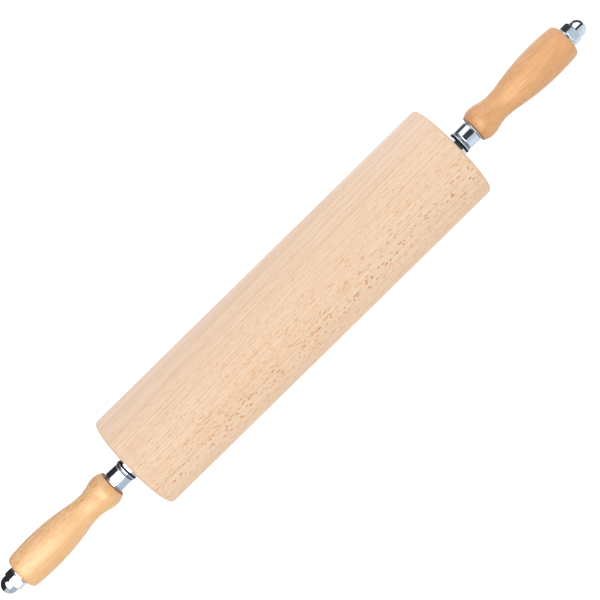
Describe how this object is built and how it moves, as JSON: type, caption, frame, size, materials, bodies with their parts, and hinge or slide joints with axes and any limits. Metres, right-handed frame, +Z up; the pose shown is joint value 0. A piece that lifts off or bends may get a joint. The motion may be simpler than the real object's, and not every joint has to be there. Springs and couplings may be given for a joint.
{
  "type": "rolling pin",
  "caption": "Baker's rolling pin whose wooden roller turns on ball bearings between turned handles clamped on a steel axle.",
  "frame": {"origin": "under the middle of the roller, on the surface that the roller stands on", "axes": "+X runs along the pin's axis from the left handle to the right one, and +Z is up"},
  "size_m": [0.7266, 0.1, 0.0999],
  "materials": {
    "raw_beech": "sanded raw beech, matt",
    "lacquered_beech": "clear lacquered beech, satin",
    "chrome": "polished",
    "turned_steel": "turned and zinc plated",
    "bearing_steel": "ground",
    "black_rubber": "matt"
  },
  "bodies": {
    "axle": {"axle_rod": "turned_steel", "left_bearing_inner_race": "bearing_steel", "left_lock_nut": "chrome", "left_rubber_washer": "black_rubber", "left_hub_washer": "chrome", "left_spacer_washer": "chrome", "left_ferrule": "chrome", "left_handle_washer": "chrome", "left_handle": "lacquered_beech", "left_end_washer": "chrome", "left_cap_nut": "chrome", "right_bearing_inner_race": "bearing_steel", "right_lock_nut": "chrome", "right_rubber_washer": "black_rubber", "right_hub_washer": "chrome", "right_spacer_washer": "chrome", "right_ferrule": "chrome", "right_handle_washer": "chrome", "right_handle": "lacquered_beech", "right_end_washer": "chrome", "right_cap_nut": "chrome"},
    "roller": {"roller": "raw_beech", "left_bearing_cup": "turned_steel", "left_bearing_outer_race": "bearing_steel", "left_bearing_outer_shield": "bearing_steel", "left_bearing_inner_shield": "bearing_steel", "right_bearing_cup": "turned_steel", "right_bearing_outer_race": "bearing_steel", "right_bearing_outer_shield": "bearing_steel", "right_bearing_inner_shield": "bearing_steel"},
    "left_cage": {"left_bearing_cage": "turned_steel", "left_bearing_ball_1": "bearing_steel", "left_bearing_ball_2": "bearing_steel", "left_bearing_ball_3": "bearing_steel", "left_bearing_ball_4": "bearing_steel", "left_bearing_ball_5": "bearing_steel", "left_bearing_ball_6": "bearing_steel", "left_bearing_ball_7": "bearing_steel", "left_bearing_ball_8": "bearing_steel"},
    "right_cage": {"right_bearing_cage": "turned_steel", "right_bearing_ball_1": "bearing_steel", "right_bearing_ball_2": "bearing_steel", "right_bearing_ball_3": "bearing_steel", "right_bearing_ball_4": "bearing_steel", "right_bearing_ball_5": "bearing_steel", "right_bearing_ball_6": "bearing_steel", "right_bearing_ball_7": "bearing_steel", "right_bearing_ball_8": "bearing_steel"}
  },
  "joints": [
    {"name": "roller_spin", "type": "hinge", "parent": "axle", "child": "roller", "pos_m": [0, 0, 0.04995], "axis": [1, 0, 0], "continuous": true},
    {"name": "left_cage_spin", "type": "hinge", "parent": "axle", "child": "left_cage", "pos_m": [-0.19475, 0, 0.04995], "axis": [1, 0, 0], "continuous": true},
    {"name": "right_cage_spin", "type": "hinge", "parent": "axle", "child": "right_cage", "pos_m": [0.19475, 0, 0.04995], "axis": [1, 0, 0], "continuous": true}
  ],
  "couplings": [
    {"joint": "left_cage_spin", "follows": "roller_spin", "ratio": 0.61905},
    {"joint": "right_cage_spin", "follows": "roller_spin", "ratio": 0.61905}
  ]
}
